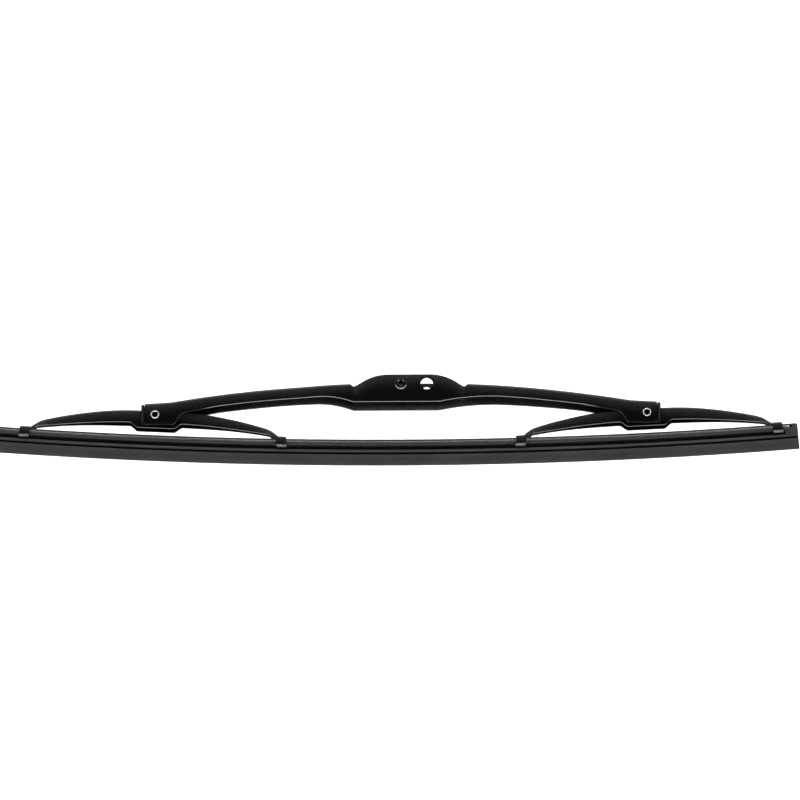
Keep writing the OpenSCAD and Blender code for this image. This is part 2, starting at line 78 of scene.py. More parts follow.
# Sizes of the yokes
YOKE_SHEET, YOKE_BEND = 0.9, 1.4
YOKE_HALF_PIVOT, YOKE_HALF_ARM, NARROW_FROM, NARROW_TO = 3.6, 2.1, 12, 50
YOKE_UP, YOKE_FLAT, CROWN_R = 3.2, 8.0, 182.0
NECK_SLOPE, OUTER_FOOT, FOOT_SLOPE, NECK_SUNK = 40.0, 1.4, 15.0, 0.3
FOOT_WIDEN, FOOT_WIDEN_FROM, FOOT_WIDEN_RUN = 0.5, 5, 3
YOKE_SKIRT, YOKE_SKIRT_RUN = 6.1, 3.2
SKIRT_OUT, SKIRT_IN = 9.0, 10.0
BELLY, BELLY_R = 3.4, 350.0
OUTER_CLAW, INNER_CLAW, CLAW_LEN = 188.2, 60.0, 4.9
CLAW_GAP, CLAW_HOOK, CLAW_BEND, TIP_SHEET, CLAW_LAP = 0.2, 1.7, 1.3, 0.6, 0.1

# Sizes of the squeegee
BOW_R, RAIL_DROP = 2550.0, 29.7
OPEN_END, CLOSED_END = 207.99, 198.49
HEAD_HALF, HEAD_ABOVE, HEAD_BELOW = 3.0, 1.5, 2.0
NECK_HALF, NECK_H, RIDGE_HALF, RIDGE_H = 0.8, 1.7, 2.3, 1.4
HINGE_HALF, HINGE_H, LIP_HALF, EDGE_HALF, LIP_H = 0.45, 0.9, 1.8, 0.45, 5.28
RAIL_W, RAIL_T, RAIL_PROUD, RAIL_GAP = 1.8, 0.9, 0.1, 0.05
RAIL_SETBACK, SLOT_SPARE, RAIL_INSET, END_BLOCK, BLOCK_SUNK = 4.2, 1.6, 2.0, 6.6, 0.1

BOW_CENTRE_Z = BOW_R - RAIL_DROP
SLOT_FLOOR = HEAD_HALF + RAIL_PROUD - RAIL_W - RAIL_GAP
FOLD_HALF = (LIP_HALF + EDGE_HALF) / 2

# Curves
SOFT_STEPS = 6


def clamp(v):
    return min(max(v, 0.0), 1.0)


def smoothstep(v):
    v = clamp(v)
    return v * v * (3 - 2 * v)


def rise(v, start, run):
    """0 up to start, 1 from start + run on, and a smooth way between."""
    return smoothstep((v - start) / run)


def ease(x, a, b):
    return (1 - math.cos(math.pi * clamp((x - a) / (b - a)))) / 2


def soft_max(a, b, s):
    return (a + b + math.sqrt((a - b) ** 2 + s * s)) / 2


def spread(a, b, step):
    """Even places from a to b that are at most step apart."""
    n = max(1, int(math.ceil(abs(b - a) / step)))
    return [a + (b - a) * i / n for i in range(n + 1)]


def runs(marks, steps):
    """Places along the marks, with a step of its own for each run between two of them."""
    places = [marks[0]]
    for a, b, step in zip(marks, marks[1:], steps):
        places += spread(a, b, step)[1:]
    return places


def softened(raw, x, reach):
    """raw(x) rounded off over a distance of reach to each side."""
    total, weight = 0.0, 0.0
    for k in range(-SOFT_STEPS, SOFT_STEPS + 1):
        w = 1 + math.cos(math.pi * k / (SOFT_STEPS + 1))
        total += w * raw(x + reach * k / SOFT_STEPS)
        weight += w
    return total / weight


# Mesh helpers
SHARP, SHARP_EXTRUDED = 35, 40
MERGE, SLIVER = 2e-7, 1e-7
LATHE_STEPS, DRILL_STEPS = 72, 64
DRILL_PAST, DRILL_WIDEN = 3, 1.5
ROUND_SHARE, TOO_SHORT = 0.45, 1e-6


def shade(mesh, sharp):
    """Smooth shading, with sharp edges where faces meet at more than that many degrees."""
    mesh.shade_smooth()
    mesh.set_sharp_from_angle(angle=math.radians(sharp))


def mesh_object(name, verts, faces, sharp=SHARP, light_and_wear=None):
    """A mesh from points in millimetres, with a value for each point that its material reads.

    That value paints light and shade: lighter tops and painted highlights on the paint, with some wear at its
    sloping cut edges; painted shade in the bare steel's bores and on the rubber's grooves and head top; and a
    lighter grey line on the plastic.
    """
    mesh = bpy.data.meshes.new(name)
    mesh.from_pydata([Vector(v) * MM for v in verts], [], faces)
    layer = mesh.attributes.new("light_and_wear", "FLOAT", "POINT")
    layer.data.foreach_set("value", light_and_wear or [0.0] * len(verts))
    bm = bmesh.new()
    bm.from_mesh(mesh)
    bmesh.ops.remove_doubles(bm, verts=bm.verts, dist=MERGE)
    bmesh.ops.dissolve_degenerate(bm, edges=bm.edges, dist=SLIVER)
    bmesh.ops.recalc_face_normals(bm, faces=bm.faces)
    bm.to_mesh(mesh)
    bm.free()
    obj = bpy.data.objects.new(name, mesh)
    bpy.context.scene.collection.objects.link(obj)
    shade(mesh, sharp)
    return obj


def strip(faces, a, b, closed=False):
    """Faces between two rows of points."""
    n = len(a)
    for i in range(n if closed else n - 1):
        j = (i + 1) % n
        faces.append((a[i], a[j], b[j], b[i]))


def tube(faces, rings):
    """Faces from each ring to the next."""
    for a, b in zip(rings, rings[1:]):
        strip(faces, a, b, closed=True)


def add_points(verts, points):
    start = len(verts)
    verts.extend(points)
    return list(range(start, start + len(points)))


def cut(obj, cutter):
    """Takes the cutter's volume out of obj, and removes the cutter."""
    mod = obj.modifiers.new("cut", "BOOLEAN")
    mod.operation = "DIFFERENCE"
    mod.solver = "EXACT"
    mod.object = cutter
    bpy.context.view_layer.update()
    graph = bpy.context.evaluated_depsgraph_get()
    mesh = bpy.data.meshes.new_from_object(obj.evaluated_get(graph))
    obj.modifiers.clear()
    old = obj.data
    obj.data = mesh
    bpy.data.meshes.remove(old)
    bpy.data.objects.remove(cutter)
    shade(mesh, SHARP)


def join(pieces):
    """Joins the meshes of the later pieces into the first."""
    target = pieces[0]
    bm = bmesh.new()
    for p in pieces:
        bm.from_mesh(p.data)
    bm.to_mesh(target.data)
    bm.free()
    for p in pieces[1:]:
        bpy.data.objects.remove(p)


def circle(x, z, r, y, steps):
    """Points about the line along Y through (x, z)."""
    turns = [2 * math.pi * k / steps for k in range(steps)]
    return [(x + r * math.cos(a), y, z + r * math.sin(a)) for a in turns]


def lathe(name, x, z, profile, light_and_wear):
    """A closed profile of (radius, y) turned about the line along Y through (x, z).

    The last argument gives a point's value for painted light and shade, as a function of the point.
    """
    verts, faces = [], []
    rings = [add_points(verts, circle(x, z, r, y, LATHE_STEPS)) for r, y in profile]
    tube(faces, rings + rings[:1])
    return mesh_object(name, verts, faces, light_and_wear=[light_and_wear(v) for v in verts])


def drill(x, z, r, face_half, flare):
    """A cutter for a hole along Y whose rims are broken by flare."""
    wide = r + flare * DRILL_WIDEN
    rows = [(wide, -face_half - DRILL_PAST), (wide, -face_half - flare / 2), (r, -face_half + flare)]
    rows += [(row_r, -y) for row_r, y in rows[::-1]]
    verts, faces = [], []
    rings = [add_points(verts, circle(x, z, row_r, y, DRILL_STEPS)) for row_r, y in rows]
    tube(faces, rings)
    faces.append(tuple(rings[0][::-1]))
    faces.append(tuple(rings[-1]))
    return mesh_object("cutter", verts, faces)


def rounded(before, at, after, radius, steps):
    """Points round the corner at, between its two neighbours. They take less than half of each side."""
    c = Vector(at)
    a, b = Vector(before) - c, Vector(after) - c
    u = a.normalized() if a.length > TOO_SHORT else b.normalized() * -1
    v = b.normalized() if b.length > TOO_SHORT else a.normalized() * -1
    first = c + u * min(radius, a.length * ROUND_SHARE)
    last = c + v * min(radius, b.length * ROUND_SHARE)
    points = []
    for i in range(steps + 1):
        t = i / steps
        shares = ((1 - t) ** 2, 2 * t * (1 - t), t * t)
        points.append(tuple(sum(w * p[k] for w, p in zip(shares, (first, c, last))) for k in (0, 1)))
    return points


# Bent sheet
FLANGE_ROWS, BEND_STEPS, WEB_STEPS = 5, 8, 3
FLANGE_BOW, BOW_RUN = 0.1, 2
LEAST_BEND, LEAST_SHEET = 0.25, 0.05


def half_line(half, top, bend, bottom, low, broken):
    """One line of a section, from the middle of the web round the bend to the broken edge below low."""
    start = top - bend
    points = [((half - bend) * k / WEB_STEPS, top) for k in range(WEB_STEPS)]
    for i in range(BEND_STEPS + 1):
        a = math.radians(90 - 90 * i / BEND_STEPS)
        y = half - bend + bend * math.cos(a)
        z = start + bend * math.sin(a)
        if z < low:
            z = low
            if low - start < bend:
                y = half - bend + math.sqrt(max(bend * bend - (low - start) ** 2, 0.0))
        points.append((y, z))
    last_y, last_z = points[-1]
    for j in range(1, FLANGE_ROWS + 1):
        t = j / FLANGE_ROWS
        bow = FLANGE_BOW * t * t * clamp((last_z - low) / BOW_RUN)
        points.append((last_y - bow, last_z + (low - last_z) * t))
    points.append((points[-1][0] + broken, bottom))
    return points


def side_lines(half, top, bottom, sheet, bend, broken, slope=0.0):
    """Right half of a channel's section: outer and inner line, from the middle of the web to the foot."""
    low = bottom + broken
    outer = half_line(half, top, bend, bottom, low, -broken)
    inner_top = top - sheet / math.cos(slope)
    inner = half_line(half - sheet, inner_top, max(bend - sheet, LEAST_BEND), bottom, low, broken)
    if inner_top <= low:
        inner = [(min(y, outer[-1][0] - LEAST_SHEET), bottom) for y, _ in inner]
    return outer, inner


def whole(line):
    """Both sides of a line that starts in the middle."""
    return [(-y, z) for y, z in line[:0:-1]] + line


def skin(faces, outer, inner):
    """The faces along a sheet, from the rows of its two sides. Its ends stay open."""
    for i in range(len(outer) - 1):
        strip(faces, outer[i], outer[i + 1])
        strip(faces, inner[i + 1], inner[i])
        for edge in (0, -1):
            faces.append((outer[i][edge], inner[i][edge], inner[i + 1][edge], outer[i + 1][edge]))


def channel(verts, faces, stations, last_foot=0):
    """Joins stations, each the outer and the inner points of a section, into a sheet with closed ends.

    last_foot is how many points the cap of the last station leaves open at each foot.
    """
    outer = [add_points(verts, s[0]) for s in stations]
    inner = [add_points(verts, s[1]) for s in stations]
    skin(faces, outer, inner)
    for end, foot in ((0, 0), (-1, last_foot)):
        a, b = outer[end], inner[end]
        for i in range(foot, len(a) - 1 - foot):
            faces.append((a[i], a[i + 1], b[i + 1], b[i]))


# Painted light on the paint: lighter along the tops and low on the insides of the bridge's flanges, with a
# painted highlight and wear on sloping cut edges. A fade is the pair of start and run that rise() takes.
TOP_PAINTED_LIGHT, TOP_PAINTED_LIGHT_DEPTH = 0.094, 8.0
FOOT_PAINTED_LIGHT, FOOT_REACH, FOOT_POWER, FACE_NEAR = 0.135, 3.2, 1.5, 0.3
EDGE_WEAR_AND_HIGHLIGHT, EDGE_ROW, SLOPE_FADE = 0.22, 0.05, (0.15, 0.4)
EDGE_STEP = 0.3


def painted_top_light(depth):
    """Painted light: the paint is lighter along the top, and less so down the flanges."""
    return TOP_PAINTED_LIGHT * (1 - clamp(depth / TOP_PAINTED_LIGHT_DEPTH)) ** 2


def foot_painted_light(point, half, edge):
    """Painted light: the insides of the bridge's flanges are lighter towards their feet."""
    face = half - BRIDGE_SHEET
    inside = face + FACE_NEAR > abs(point[1]) > face - FACE_NEAR
    return FOOT_PAINTED_LIGHT * inside * (1 - clamp((point[2] - edge) / FOOT_REACH)) ** FOOT_POWER


def edge_wear_and_highlight(edge, x, z):
    """The sheet's cut edge is worn where it slopes and carries a painted highlight there. edge is the height of
    that edge as a function of x.
    """
    if z > edge(x) + EDGE_ROW:
        return 0.0
    slope = abs(edge(x + EDGE_STEP) - edge(x - EDGE_STEP)) / (2 * EDGE_STEP)
    return EDGE_WEAR_AND_HIGHLIGHT * rise(slope, *SLOPE_FADE)


# Bridge
TOP_SOFT, TOP_SOFT_FROM, TOP_SOFT_TO = 2.5, 108, 121
EDGE_SOFT, LEAD_SOFT, LEAD_SOFT_FROM, LEAD_SOFT_TO, LEAD_SOFT_RUN = 0.8, 2.4, 95, 110, 1.5
CHEEK_SOFT, CHEEK_SOFT_RUN, CHEEK_SOFT_RISE = 0.9, 1.2, 1.5
BROKEN, CHEEK_BROKEN, CHEEK_BROKEN_RUN = 0.12, 0.16, 0.75
END_STEP, NEAR_STEP, FAR_STEP, NEAR_RUN = 0.15, 0.8, 2.2, 24
RELIEF_RUN, RELIEF_STEPS, RELIEF_POWER = 3, 6, 1.5
CHEEK_END_RUN, CHEEK_NEAR_RUN, CHEEK_END_STEP, CHEEK_STEP = 4, 17, 0.25, 2.0
HOLE_FLARE, PIN_FLARE = 0.05, 0.03


def land_z(x):
    return PIVOT_Z + WEB_OVER - LAND_FALL * (x - PIVOT_X)


LAND_SAG = CROWN - land_z(LAND_X)


def bridge_top_raw(x):
    x = abs(x)
    return CROWN - LAND_SAG * (x / LAND_X) ** ARCH_POWER if x < LAND_X else land_z(x)


def bridge_top(x):
    if TOP_SOFT_FROM < abs(x) < TOP_SOFT_TO:
        return softened(bridge_top_raw, x, TOP_SOFT)
    return bridge_top_raw(x)


def bridge_half(x):
    t = ease(-x, -WINDOW_L, -TAPER_L) if x < WINDOW_MID else ease(x, WINDOW_R, TAPER_R)
    return CHEEK_HALF + (END_HALF - CHEEK_HALF) * t


def arm_foot(x):
    return bridge_top_raw(x) - ARM_DEPTH


def edge_raw(x):
    base, run = (BASE_L, RUN_L) if x < 0 else (BASE_R, RUN_R)
    x = abs(x)
    if x <= base:
        return -CHEEK_DOWN
    if x < base + run:
        return arm_foot(x) - (CHEEK_DOWN + arm_foot(base)) * (1 - (x - base) / run) ** 2
    a, b = LEAD_X, SKIRT_X - SKIRT_RUN
    lead = arm_foot(b) - LEAD_DROP
    if x < a:
        return arm_foot(x)
    if x < b:
        return arm_foot(a) + (lead - arm_foot(a)) * (x - a) / (b - a)
    if x < SKIRT_X:
        return lead + (SKIRT_Z - lead) * (x - b) / (SKIRT_X - b)
    return SKIRT_Z + END_CORNER - math.sqrt(END_CORNER ** 2 - max(x - BRIDGE_END + END_CORNER, 0.0) ** 2)


def bridge_edge(x):
    """The height of the flanges' lower edge."""
    far = abs(x)
    if far > BRIDGE_END - 2 * END_CORNER:
        return edge_raw(min(far, BRIDGE_END))
    reach = EDGE_SOFT
    if far >= LEAD_SOFT_FROM:
        reach = LEAD_SOFT - (LEAD_SOFT - EDGE_SOFT) * clamp((far - LEAD_SOFT_TO) / LEAD_SOFT_RUN)
    return softened(edge_raw, x, reach)


def cheek_top(x):
    """The height of the cheeks' upper edge: the window's notches at both ends, and a dome between them."""
    notch = bridge_top_raw(WINDOW_L if x < WINDOW_MID else WINDOW_R) - BRIDGE_BEND
    run = max(abs(x - WINDOW_MID) - CHEEK_FLAT / 2, 0.0)
    dome = CHEEK_UP - SHOULDER_R + math.sqrt(max(SHOULDER_R ** 2 - run * run, 0.0))
    if dome >= notch + CHEEK_SOFT_RISE:
        return dome
    gap = min(x - CHEEK_L, CHEEK_R - x)
    return soft_max(notch, dome, CHEEK_SOFT * clamp(gap / CHEEK_SOFT_RUN))


def arm_station(x, way, shear=0.0, inset=0.0):
    """A section of the bridge where it has its web. shear slants the web's end for the relief."""
    top = bridge_top(x)
    lean = way * shear * RELIEF
    outer, inner = side_lines(bridge_half(x) - inset, top - inset, bridge_edge(x + lean) + inset,
                              BRIDGE_SHEET - 2 * inset, BRIDGE_BEND - inset, BROKEN)

    def place(line):
        return [(x + lean * clamp((top - z) / BRIDGE_BEND), y, z) for y, z in whole(line)]
    return place(outer), place(inner)


def build_arm(verts, faces, way, window):
    """An arm of the bridge, from its end to the window. way is 1 if that runs along +X, and -1 if not."""
    marks = [-BRIDGE_END + BROKEN, -BRIDGE_END + 2 * END_CORNER, -BRIDGE_END + NEAR_RUN,
             way * window - RELIEF_RUN]
    stations = [arm_station(way * -BRIDGE_END, way, inset=BROKEN)]
    stations += [arm_station(way * x, way) for x in runs(marks, (END_STEP, NEAR_STEP, FAR_STEP))]
    for k in range(1, RELIEF_STEPS + 1):
        t = k / RELIEF_STEPS
        stations.append(arm_station(window - way * RELIEF_RUN * (1 - t), way, shear=t ** RELIEF_POWER))
    channel(verts, faces, stations, last_foot=FLANGE_ROWS + 1)


def build_cheek(verts, faces, y_side):
    a, b = CHEEK_L, CHEEK_R
    marks = [a, a + CHEEK_END_RUN, a + CHEEK_NEAR_RUN, b - CHEEK_NEAR_RUN, b - CHEEK_END_RUN, b]
    outer, inner = [], []
    for x in runs(marks, (CHEEK_END_STEP, NEAR_STEP, CHEEK_STEP, NEAR_STEP, CHEEK_END_STEP)):
        foot, top = bridge_edge(x), cheek_top(x)
        c = CHEEK_BROKEN * clamp(min(x - a, b - x) / CHEEK_BROKEN_RUN)
        zs = [foot + BROKEN + (top - c - foot - BROKEN) * j / FLANGE_ROWS for j in range(FLANGE_ROWS + 1)]
        for rows, half, out in ((outer, CHEEK_HALF, 1), (inner, CHEEK_HALF - BRIDGE_SHEET, -1)):
            points = [(x, y_side * (half - out * BROKEN), foot)]
            points += [(x, y_side * half, z) for z in zs]
            points += [(x, y_side * (half - out * c), top)]
            rows.append(add_points(verts, points))
    skin(faces, outer, inner)


def bridge_light_and_wear(point):
    # Painted light on the bridge: lighter along its tops and low on its flanges' insides, with a painted
    # highlight and wear on sloping cut edges
    x, _, z = point
    top = cheek_top(x) if CHEEK_L < x < CHEEK_R else bridge_top(x)
    return painted_top_light(top - z) + edge_wear_and_highlight(bridge_edge, x, z) + foot_painted_light(point, bridge_half(x), bridge_edge(x))


def build_bridge():
    verts, faces = [], []
    build_arm(verts, faces, 1, WINDOW_L)
    build_arm(verts, faces, -1, WINDOW_R)
    for y_side in (-1, 1):
        build_cheek(verts, faces, y_side)
    bridge = mesh_object("bridge_sheet", verts, faces, light_and_wear=[bridge_light_and_wear(v) for v in verts])
    holes = [(0, 0, SHANK_R, CHEEK_HALF, HOLE_FLARE), (SIDE_PIN_X, 0, SIDE_PIN_R, CHEEK_HALF, PIN_FLARE)]
    holes += [(side * PIVOT_X, PIVOT_Z, PIVOT_SHANK_R, END_HALF, HOLE_FLARE) for side in (1, -1)]
    for hole in holes:
        cut(bridge, drill(*hole))
    return bridge


# Yokes. In a yoke's own plane d runs from the pivot along the chord of its two claws, and z stands on it.
def rail_z(x):
    return BOW_CENTRE_Z - math.sqrt(BOW_R * BOW_R - x * x)


TILT = math.atan2(rail_z(OUTER_CLAW) - rail_z(INNER_CLAW), OUTER_CLAW - INNER_CLAW)


def in_yoke(x, z):
    """Place (d, z) in the right yoke's plane of a point of the part."""
    c, s = math.cos(TILT), math.sin(TILT)
    return (x - PIVOT_X) * c + (z - PIVOT_Z) * s, (z - PIVOT_Z) * c - (x - PIVOT_X) * s


def from_yoke(side, d, y, z):
    """The point of the part that lies at (d, z) in the plane of the yoke on that side."""
    c, s = math.cos(TILT), math.sin(TILT)
    return (side * (PIVOT_X + d * c - z * s), y, PIVOT_Z + d * s + z * c)


OUTER_REACH, YOKE_RAIL_Z = in_yoke(OUTER_CLAW, rail_z(OUTER_CLAW))
INNER_REACH = -in_yoke(INNER_CLAW, rail_z(INNER_CLAW))[0]
CLAW_INNER = HEAD_HALF + RAIL_PROUD + CLAW_GAP
CLAW_HALF = CLAW_INNER + YOKE_SHEET
CLAW_CEILING = YOKE_RAIL_Z + HEAD_ABOVE + CLAW_GAP
CLAW_TOP = CLAW_CEILING + YOKE_SHEET
CLAW_FLOOR = YOKE_RAIL_Z - HEAD_BELOW - CLAW_GAP
CLAW_BOTTOM = CLAW_FLOOR - TIP_SHEET
WEB_FLOOR = CLAW_CEILING + CLAW_LAP

# Each arm has a reach, a foot on its claw, and a skirt beside the pivot
OUTER_ARM = (OUTER_REACH, OUTER_FOOT, SKIRT_OUT)
INNER_ARM = (INNER_REACH, 0.0, SKIRT_IN)

NECK_SOFT, CROWN_SOFT, NECK_FROM, YOKE_EDGE_SOFT = 0.35, 0.9, 30, 0.7
BELLY_END, WEB_START = 1.2, 0.75
PIVOT_RUN, PIVOT_STEP, ARM_STEP, CLAW_RUN, CLAW_STEP = 16, 0.8, 2.0, 12, 0.45
YOKE_BROKEN, LEAST_DEPTH, SLOPE_STEP = 0.1, 0.35, 0.1
CLAW_ROWS, CLAW_TURN_STEPS, TIP_ROWS = 4, 7, 3
CLAW_BROKEN, TIP_BROKEN, TIP_DROP = 0.11, 0.08, 0.15
CLAW_LEAN, LEAN_UP, LEAN_RUN = 0.45, 1.9, 1.6
CLAW_PAINTED_LIGHT, CLAW_PAINTED_LIGHT_FROM, CLAW_PAINTED_LIGHT_RUN = 0.045, 16, 12
CRIMP_HIGHLIGHT, CRIMP_UP_FADE, CRIMP_IN_FADE, CLAW_SIDE_SCALE = 0.5, (-1.0, 0.35), (CLAW_INNER - 1.2, 0.5), 1.3


def crown_z(d):
    return YOKE_UP if d < YOKE_FLAT else YOKE_UP - CROWN_R + math.sqrt(CROWN_R ** 2 - (d - YOKE_FLAT) ** 2)


def neck_z(c, foot):
    """The top near a claw, down the neck and then along the foot. c is the distance to the claw."""
    drop = CLAW_TOP - NECK_SUNK + (c - NECK_SUNK - foot) * math.tan(math.radians(NECK_SLOPE))
    flat = CLAW_TOP - NECK_SUNK + max(c - CLAW_LEN / 2 + NECK_SUNK, 0) * math.tan(math.radians(FOOT_SLOPE))
    return soft_max(drop, flat, NECK_SOFT)


def yoke_top(d, reach, foot):
    a, b = crown_z(d), neck_z(reach - d, foot)
    return -soft_max(-a, -b, CROWN_SOFT) if d > NECK_FROM else a


def yoke_edge_raw(d, reach, skirt):
    if d < skirt:
        return -YOKE_SKIRT
    end = skirt + YOKE_SKIRT_RUN

    def belly(v):
        return -BELLY - BELLY_R + math.sqrt(BELLY_R ** 2 - (v - skirt) ** 2)
    if d < end:
        return -YOKE_SKIRT + (belly(end) + YOKE_SKIRT) * (d - skirt) / YOKE_SKIRT_RUN
    a, b = reach - BELLY_END * CLAW_LEN, reach - WEB_START * CLAW_LEN
    if d < a:
        return belly(d)
    if d < b:
        return belly(a) + (WEB_FLOOR - belly(a)) * (d - a) / (b - a)
    return WEB_FLOOR


def yoke_edge(d, reach, skirt):
    """The height of the flanges' lower edge."""
    return softened(lambda v: yoke_edge_raw(abs(v), reach, skirt), d, YOKE_EDGE_SOFT)


def yoke_half(d, reach):
    arm = YOKE_HALF_PIVOT + (YOKE_HALF_ARM - YOKE_HALF_PIVOT) * ease(d, NARROW_FROM, NARROW_TO)
    return arm + FOOT_WIDEN * rise(d, reach - FOOT_WIDEN_FROM, FOOT_WIDEN_RUN)


def claw_line(half, high, low, bend, tip):
    """One half of a claw's line, from the middle of its top round to the tip."""
    turns = [math.pi / 2 * i / CLAW_TURN_STEPS for i in range(CLAW_TURN_STEPS + 1)]
    points = [((half - bend) * k / CLAW_ROWS, high) for k in range(CLAW_ROWS)]
    points += [(half - bend + bend * math.sin(a), high - bend + bend * math.cos(a)) for a in turns]
    points += [(half, high - bend + (low - high + 2 * bend) * k / CLAW_ROWS) for k in range(1, CLAW_ROWS)]
    points += [(half - bend + bend * math.cos(a), low + bend - bend * math.sin(a)) for a in turns]
    points += [(half - bend + (tip - half + bend) * k / TIP_ROWS, low) for k in range(1, TIP_ROWS + 1)]
    return points


def arm_light_and_wear(point, side):
    """Painted light on an arm: lighter along its top, more so near its claws, and a painted highlight with wear
    on its edge where that slopes.
    """
    d, z = in_yoke(side * point[0], point[2])
    reach, foot, skirt = OUTER_ARM if d > 0 else INNER_ARM
    d = abs(d)
    near = rise(d, reach - CLAW_PAINTED_LIGHT_FROM, CLAW_PAINTED_LIGHT_RUN)
    edge = edge_wear_and_highlight(lambda v: yoke_edge(v, reach, skirt), d, z)
    return painted_top_light(yoke_top(d, reach, foot) - z) + CLAW_PAINTED_LIGHT * near + edge


def claw_painted_light(point, side):
    """A painted highlight along the bend at a claw's tips, and the claw painted lighter towards its top."""
    x, y, z = point
    low = in_yoke(side * x, z)[1] - CLAW_BOTTOM
    tips = rise(-low, *CRIMP_UP_FADE) * rise(abs(y), *CRIMP_IN_FADE)
    return max(CRIMP_HIGHLIGHT * tips, painted_top_light(CLAW_SIDE_SCALE * (CLAW_TOP - CLAW_BOTTOM - low)))


def yoke_arm(side, arm, way):
    """Sections of one arm, from the pivot to its claw. way is 1 for the outer arm, -1 for the inner one."""
    reach, foot, skirt = arm
    marks = [0, PIVOT_RUN, reach - CLAW_RUN, reach - NECK_SUNK]
    stations = []
    for d in runs(marks, (PIVOT_STEP, ARM_STEP, CLAW_STEP)):
        top = yoke_top(d, reach, foot)
        climb = yoke_top(d + SLOPE_STEP, reach, foot) - yoke_top(d - SLOPE_STEP, reach, foot)
        slope = math.atan(climb / (2 * SLOPE_STEP))
        bottom = min(yoke_edge(d, reach, skirt), top - LEAST_DEPTH)
        lines = side_lines(yoke_half(d, reach), top, bottom, YOKE_SHEET, YOKE_BEND, YOKE_BROKEN, slope)
        stations.append([[from_yoke(side, way * d, y, z) for y, z in whole(line)] for line in lines])
    return stations


def build_claw(name, side, reach, way):
    """A claw formed round the squeegee's head. Its tips lean away from the pivot."""
    verts, faces, stations = [], [], []
    tip = CLAW_INNER - CLAW_HOOK
    half, quarter = CLAW_LEN / 2, CLAW_LEN / 4
    flat = half - CLAW_BROKEN
    for x in (-half, -flat, -quarter, 0, quarter, flat, half):
        e = CLAW_BROKEN if abs(x) == half else 0
        outer = claw_line(CLAW_HALF - e, CLAW_TOP - e, CLAW_BOTTOM + e, CLAW_BEND - e, tip + TIP_BROKEN)
        inner = claw_line(CLAW_INNER + e, CLAW_CEILING + e, CLAW_FLOOR - e, CLAW_BEND - YOKE_SHEET + e,
                          tip + TIP_BROKEN)
        outer.append((tip, CLAW_BOTTOM + TIP_DROP))
        inner.append((tip, CLAW_FLOOR - TIP_DROP))
        station = []
        for line in (outer, inner):
            leans = [CLAW_LEAN * smoothstep((CLAW_BOTTOM + LEAN_UP - z) / LEAN_RUN) for _, z in whole(line)]
            station.append([from_yoke(side, reach + x + way * lean, y, z)
                            for lean, (y, z) in zip(leans, whole(line))])
        stations.append(station)
    channel(verts, faces, stations)
    return mesh_object(name + "_claw", verts, faces, light_and_wear=[claw_painted_light(v, side) for v in verts])


def build_yoke(name, side):
    """side is 1 for the right yoke, whose outer arm points along +X, and -1 for the left one."""
    verts, faces = [], []
    inner = yoke_arm(side, INNER_ARM, -1)
    channel(verts, faces, inner[:0:-1] + yoke_arm(side, OUTER_ARM, 1))
    yoke = mesh_object(name, verts, faces, light_and_wear=[arm_light_and_wear(v, side) for v in verts])
    cut(yoke, drill(side * PIVOT_X, PIVOT_Z, PIVOT_SHANK_R + PIVOT_PLAY, YOKE_HALF_PIVOT, HOLE_FLARE))
    join([yoke, build_claw(name, side, OUTER_REACH, 1), build_claw(name, side, -INNER_REACH, -1)])
    return yoke


# Bushings
LIP_IN = BRIDGE_END + LIP_GAP
LINER_HALF = END_HALF - BRIDGE_SHEET - LINER_GAP
LIP_OUTER_HALF = END_HALF - LIP_STEP
SADDLE_BROKEN, LIP_ROUND, LIP_OUTER_RUN, LINER_PITCH = 0.08, 0.2, 0.25, 2.0
LIP_LINE, LIP_LINE_AT, LIP_LINE_NEAR = 0.12, 0.6, 0.1


def saddle_part(name, side, places, half, drop, sheet, bend, end_round):
    """A channel whose web runs along with the bridge's. end_round draws in the sections at both of its ends."""
    verts, faces, stations = [], [], []
    for x in places:
        e = end_round if x in (places[0], places[-1]) else 0.0
        lines = side_lines(half - e, bridge_top(x) - drop - e, SKIRT_Z + SADDLE_FOOT + e, sheet - 2 * e,
                           bend - e / 2, SADDLE_BROKEN)
        stations.append([[(side * x, y, z) for y, z in whole(line)] for line in lines])
    channel(verts, faces, stations)
    # A lighter grey line down the sides of the lip
    lip_line = [LIP_LINE * (abs(abs(x) - LIP_IN - LIP_LINE_AT) < LIP_LINE_NEAR and abs(y) > half - LIP_LINE_NEAR)
                 for x, y, _ in verts]
    return mesh_object(name, verts, faces, light_and_wear=lip_line)


def build_bushing(name, side):
    """A liner inside the end of the bridge, and a lip beyond that end."""
    liner_places = spread(SKIRT_X + SKIRT_RUN, LIP_IN + LINER_INTO_LIP, LINER_PITCH)
    liner = saddle_part(name, side, liner_places, LINER_HALF, LINER_DROP, LINER, LINER_BEND, 0.0)
    lip_places = [LIP_IN + x for x in (0, LIP_ROUND, LIP_LINE_AT, LIP_T - LIP_OUTER_RUN, LIP_T)]
    lip_sheet = LIP_OUTER_HALF - (LINER_HALF - LINER)
    lip = saddle_part(name, side, lip_places, LIP_OUTER_HALF, LIP_STEP, lip_sheet, LIP_BEND, LIP_ROUND)
    join([liner, lip])
    return liner


# Rivets
HEAD_ROUND, HEAD_FOOT, RIM_FOOT, RIM_STEPS = 0.08, 0.1, 0.14, 12
MOUTH_WIDEN, MOUTH_DEPTH = 0.25, 1.2
RIM_HIGHLIGHT, RIM_OUT_FADE, RIM_LOW_FADE = 1.7, (2.5, 0.3), (0.2, 0.4)
MOUTH_HIGHLIGHT, MOUTH_OUT_FADE, MOUTH_IN_FADE = 1.2, (1.5, 0.15), (-2.05, 0.2)
MOUTH_UP_FADE, MOUTH_ASIDE_FADE = (0.4, 0.2), (0.25, 0.25)
BORE_SHADE_FADE = (1.5, 0.12)


